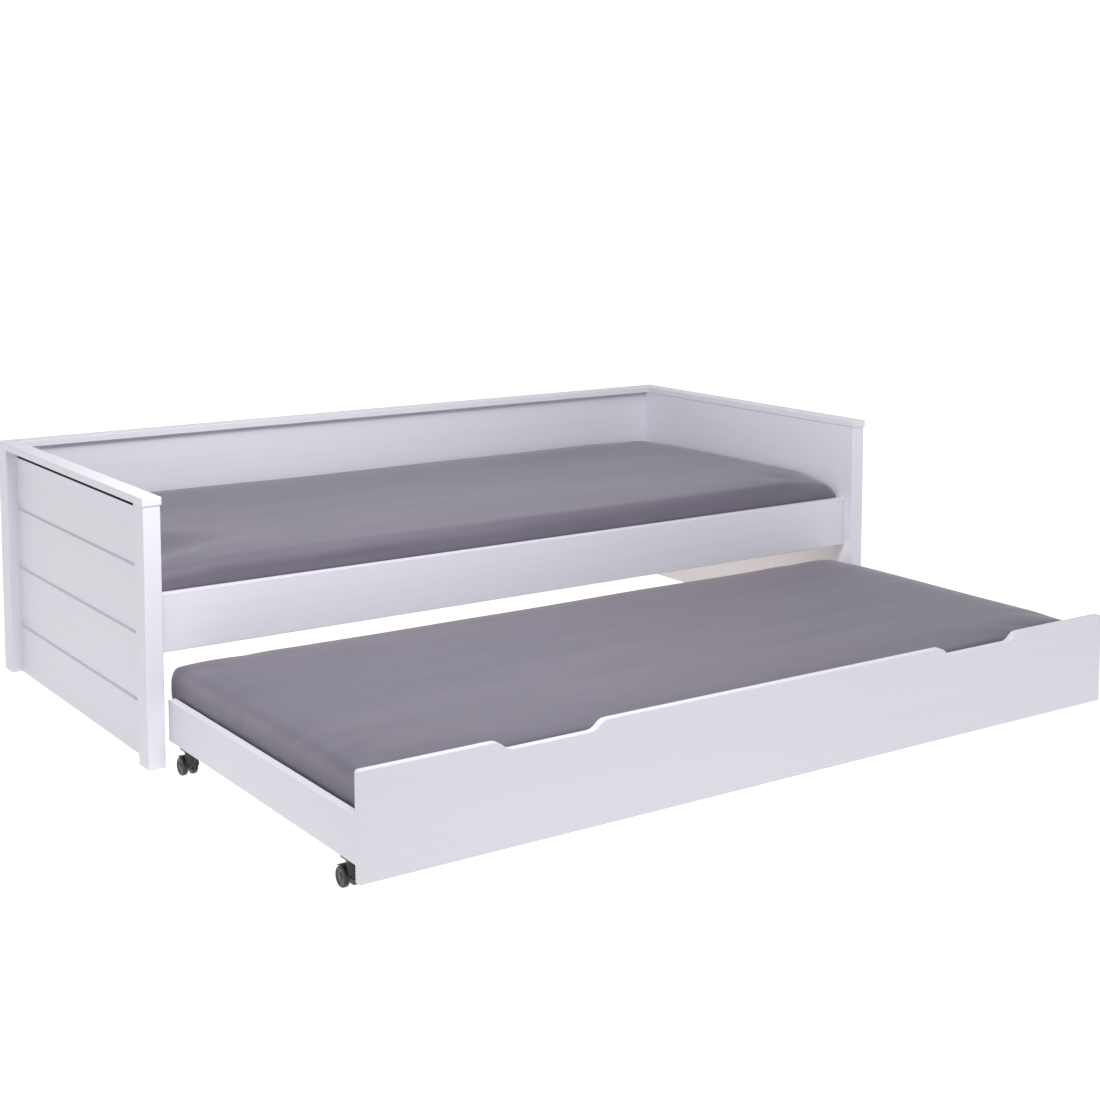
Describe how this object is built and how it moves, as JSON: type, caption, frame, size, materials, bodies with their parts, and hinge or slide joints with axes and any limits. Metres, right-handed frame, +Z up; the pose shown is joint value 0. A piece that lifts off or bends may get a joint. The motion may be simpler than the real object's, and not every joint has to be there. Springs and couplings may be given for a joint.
{
  "type": "trundle bed",
  "caption": "Low white day bed with three panelled sides and an open front, and a slatted trundle bed on casters that rolls out from under it; both mattresses in grey sheets.",
  "frame": {"origin": "on the floor, at the middle of the footprint of the bed with its trundle rolled out", "axes": "+X along the bed's length, to the right seen from its open front; +Y from the open front to the back panel; +Z up"},
  "size_m": [2.1, 1.84, 0.6],
  "materials": {
    "white_lacquered_wood": "satin white lacquer with a very faint grain",
    "bare_pine": "planed bare pine",
    "beech_dowel": "fluted bare beech",
    "woven_tape": "flat woven polyester tape",
    "mattress_ticking": "matte knitted ticking",
    "grey_jersey_sheet": "soft grey jersey with a slight sheen",
    "zinc_plated_steel": "bright zinc plate",
    "bright_steel": "drawn steel rod",
    "black_plate_steel": "black powder coat",
    "caster_body_nylon": "moulded black nylon",
    "caster_wheel_nylon": "moulded black nylon, slightly glossy",
    "glide_plastic": "moulded pale plastic"
  },
  "bodies": {
    "bed_frame": {"back_cap_rail": "white_lacquered_wood", "back_panel": "white_lacquered_wood", "back_slat_cleat": "bare_pine", "bed_cleat_screws": "zinc_plated_steel", "bed_fitted_sheet": "grey_jersey_sheet", "bed_mattress": "mattress_ticking", "bed_slat_screws": "zinc_plated_steel", "bed_slat_tapes": "woven_tape", "bed_slats": "bare_pine", "frame_bracket_screws": "zinc_plated_steel", "frame_corner_brackets": "zinc_plated_steel", "frame_dowels": "beech_dowel", "front_side_rail": "white_lacquered_wood", "front_slat_cleat": "bare_pine", "left_cap_rail": "white_lacquered_wood", "left_end_panel": "white_lacquered_wood", "left_front_post": "white_lacquered_wood", "left_rear_post": "white_lacquered_wood", "post_glides": "glide_plastic", "right_cap_rail": "white_lacquered_wood", "right_end_panel": "white_lacquered_wood", "right_front_post": "white_lacquered_wood", "right_rear_post": "white_lacquered_wood"},
    "trundle": {"caster_kingpins": "bright_steel", "caster_plate_screws": "zinc_plated_steel", "caster_plates": "black_plate_steel", "trundle_bracket_screws": "zinc_plated_steel", "trundle_caster_blocks": "bare_pine", "trundle_cleat_screws": "zinc_plated_steel", "trundle_corner_brackets": "zinc_plated_steel", "trundle_dowels": "beech_dowel", "trundle_fitted_sheet": "grey_jersey_sheet", "trundle_front_cleat": "bare_pine", "trundle_front_panel": "white_lacquered_wood", "trundle_left_rail": "white_lacquered_wood", "trundle_mattress": "mattress_ticking", "trundle_rear_cleat": "bare_pine", "trundle_rear_rail": "white_lacquered_wood", "trundle_right_rail": "white_lacquered_wood", "trundle_slat_screws": "zinc_plated_steel", "trundle_slat_tapes": "woven_tape", "trundle_slats": "bare_pine"},
    "caster_front_left_left_wheel": {"caster_front_left_left_wheel": "caster_wheel_nylon"},
    "caster_front_left_right_wheel": {"caster_front_left_right_wheel": "caster_wheel_nylon"},
    "caster_front_left_swivel": {"caster_front_left_axle": "bright_steel", "caster_front_left_housing": "caster_body_nylon"},
    "caster_front_right_left_wheel": {"caster_front_right_left_wheel": "caster_wheel_nylon"},
    "caster_front_right_right_wheel": {"caster_front_right_right_wheel": "caster_wheel_nylon"},
    "caster_front_right_swivel": {"caster_front_right_axle": "bright_steel", "caster_front_right_housing": "caster_body_nylon"},
    "caster_rear_left_left_wheel": {"caster_rear_left_left_wheel": "caster_wheel_nylon"},
    "caster_rear_left_right_wheel": {"caster_rear_left_right_wheel": "caster_wheel_nylon"},
    "caster_rear_left_swivel": {"caster_rear_left_axle": "bright_steel", "caster_rear_left_housing": "caster_body_nylon"},
    "caster_rear_right_left_wheel": {"caster_rear_right_left_wheel": "caster_wheel_nylon"},
    "caster_rear_right_right_wheel": {"caster_rear_right_right_wheel": "caster_wheel_nylon"},
    "caster_rear_right_swivel": {"caster_rear_right_axle": "bright_steel", "caster_rear_right_housing": "caster_body_nylon"}
  },
  "joints": [
    {"name": "trundle_slide", "type": "slide", "parent": "bed_frame", "child": "trundle", "axis": [0, -1, 0], "range_m": [-0.891, 0.3]},
    {"name": "caster_front_left_swivel", "type": "hinge", "parent": "trundle", "child": "caster_front_left_swivel", "pos_m": [-0.981, -0.861, 0.05], "axis": [0, 0, -1], "continuous": true},
    {"name": "caster_front_left_left_wheel_spin", "type": "hinge", "parent": "caster_front_left_swivel", "child": "caster_front_left_left_wheel", "pos_m": [-0.9925, -0.843, 0.02], "axis": [1, 0, 0], "continuous": true},
    {"name": "caster_front_left_right_wheel_spin", "type": "hinge", "parent": "caster_front_left_swivel", "child": "caster_front_left_right_wheel", "pos_m": [-0.9695, -0.843, 0.02], "axis": [1, 0, 0], "continuous": true},
    {"name": "caster_front_right_swivel", "type": "hinge", "parent": "trundle", "child": "caster_front_right_swivel", "pos_m": [0.981, -0.861, 0.05], "axis": [0, 0, 1], "continuous": true},
    {"name": "caster_front_right_left_wheel_spin", "type": "hinge", "parent": "caster_front_right_swivel", "child": "caster_front_right_left_wheel", "pos_m": [0.9695, -0.843, 0.02], "axis": [1, 0, 0], "continuous": true},
    {"name": "caster_front_right_right_wheel_spin", "type": "hinge", "parent": "caster_front_right_swivel", "child": "caster_front_right_right_wheel", "pos_m": [0.9925, -0.843, 0.02], "axis": [1, 0, 0], "continuous": true},
    {"name": "caster_rear_left_swivel", "type": "hinge", "parent": "trundle", "child": "caster_rear_left_swivel", "pos_m": [-0.981, -0.128, 0.05], "axis": [0, 0, -1], "continuous": true},
    {"name": "caster_rear_left_left_wheel_spin", "type": "hinge", "parent": "caster_rear_left_swivel", "child": "caster_rear_left_left_wheel", "pos_m": [-0.9925, -0.11, 0.02], "axis": [1, 0, 0], "continuous": true},
    {"name": "caster_rear_left_right_wheel_spin", "type": "hinge", "parent": "caster_rear_left_swivel", "child": "caster_rear_left_right_wheel", "pos_m": [-0.9695, -0.11, 0.02], "axis": [1, 0, 0], "continuous": true},
    {"name": "caster_rear_right_swivel", "type": "hinge", "parent": "trundle", "child": "caster_rear_right_swivel", "pos_m": [0.981, -0.128, 0.05], "axis": [0, 0, 1], "continuous": true},
    {"name": "caster_rear_right_left_wheel_spin", "type": "hinge", "parent": "caster_rear_right_swivel", "child": "caster_rear_right_left_wheel", "pos_m": [0.9695, -0.11, 0.02], "axis": [1, 0, 0], "continuous": true},
    {"name": "caster_rear_right_right_wheel_spin", "type": "hinge", "parent": "caster_rear_right_swivel", "child": "caster_rear_right_right_wheel", "pos_m": [0.9925, -0.11, 0.02], "axis": [1, 0, 0], "continuous": true}
  ]
}
